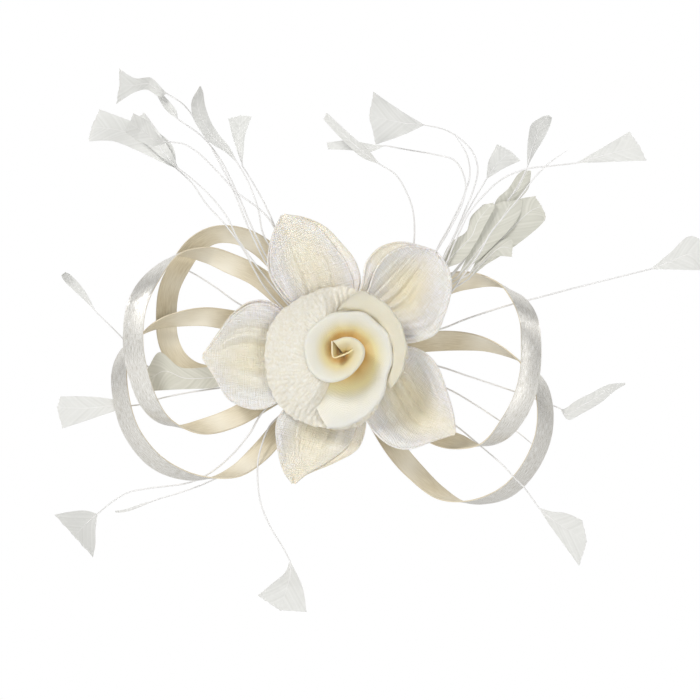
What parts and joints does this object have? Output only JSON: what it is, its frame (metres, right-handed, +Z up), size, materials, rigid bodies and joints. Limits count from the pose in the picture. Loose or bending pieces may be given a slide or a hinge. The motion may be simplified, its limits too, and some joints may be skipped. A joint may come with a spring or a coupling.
{
  "type": "fascinator headpiece",
  "caption": "Fascinator: a woven-mesh flower with a rolled rose centre, satin ribbon loops and trimmed feathers on a felt base, worn with a sprung hair clip.",
  "frame": {"origin": "on the flat outer face of the clip's lever arm, where the headpiece rests on the head", "axes": "+Y towards the head, so the flower faces -Y; +Z up as worn; +X to the right seen from the front"},
  "size_m": [0.2937, 0.071, 0.2438],
  "materials": {
    "mesh": "woven lustrous mesh, ivory",
    "organza": "sheer woven organza, warm ivory",
    "ribbon": "satin, lustrous outside and matt inside",
    "feather": "matt translucent feather",
    "felt": "matt felt",
    "thread": "wound thread",
    "steel": "nickel-plated sheet"
  },
  "bodies": {
    "root": {"clip_fixed_arm": "steel", "clip_pin": "steel", "clip_spring": "steel", "felt_backing": "felt", "base_disc": "felt", "thread_binding": "thread", "flower_stem": "thread", "petal_top": "mesh", "petal_upper_right": "mesh", "petal_lower_right": "mesh", "petal_bottom": "mesh", "petal_left": "mesh", "rose_collar": "organza", "rose_outer_petal": "organza", "rose_roll": "organza", "rose_bud": "organza", "ribbon_loop_left_front": "ribbon", "ribbon_loop_left_back": "ribbon", "ribbon_loop_left_lower": "ribbon", "ribbon_loop_right_front": "ribbon", "ribbon_loop_right_back": "ribbon", "feather_top_left_1": "feather", "feather_top_left_2": "feather", "feather_top_left_3": "feather", "feather_top_left_4": "feather", "feather_top_left_5": "feather", "feather_top_left_6": "feather", "feather_top_left_7": "feather", "feather_top_right_1": "feather", "feather_top_right_2": "feather", "feather_top_right_3": "feather", "quill_top_right_4": "feather", "feather_top_right_5": "feather", "feather_top_right_6": "feather", "feather_top_right_7": "feather", "feather_top_right_8": "feather", "quill_top_right_9": "feather", "feather_short_1": "feather", "feather_short_2": "feather", "feather_short_3": "feather", "feather_short_4": "feather", "feather_right_1": "feather", "feather_right_2": "feather", "quill_right_3": "feather", "feather_right_4": "feather", "feather_bottom": "feather", "feather_lower_left_1": "feather", "feather_lower_left_2": "feather", "feather_left_1": "feather", "feather_left_2": "feather", "feather_left_3": "feather", "quill_left_4": "feather"},
    "clip_lever": {"clip_lever_arm": "steel"}
  },
  "joints": [
    {"name": "clip_lever_hinge", "type": "hinge", "parent": "root", "child": "clip_lever", "pos_m": [0.012, -0.0026, 0], "axis": [0, 0, -1], "range_deg": [0, 26], "stiffness_Nm_per_rad": 0.12, "springref_deg": -45.84, "deforming": ["clip_spring"]}
  ]
}
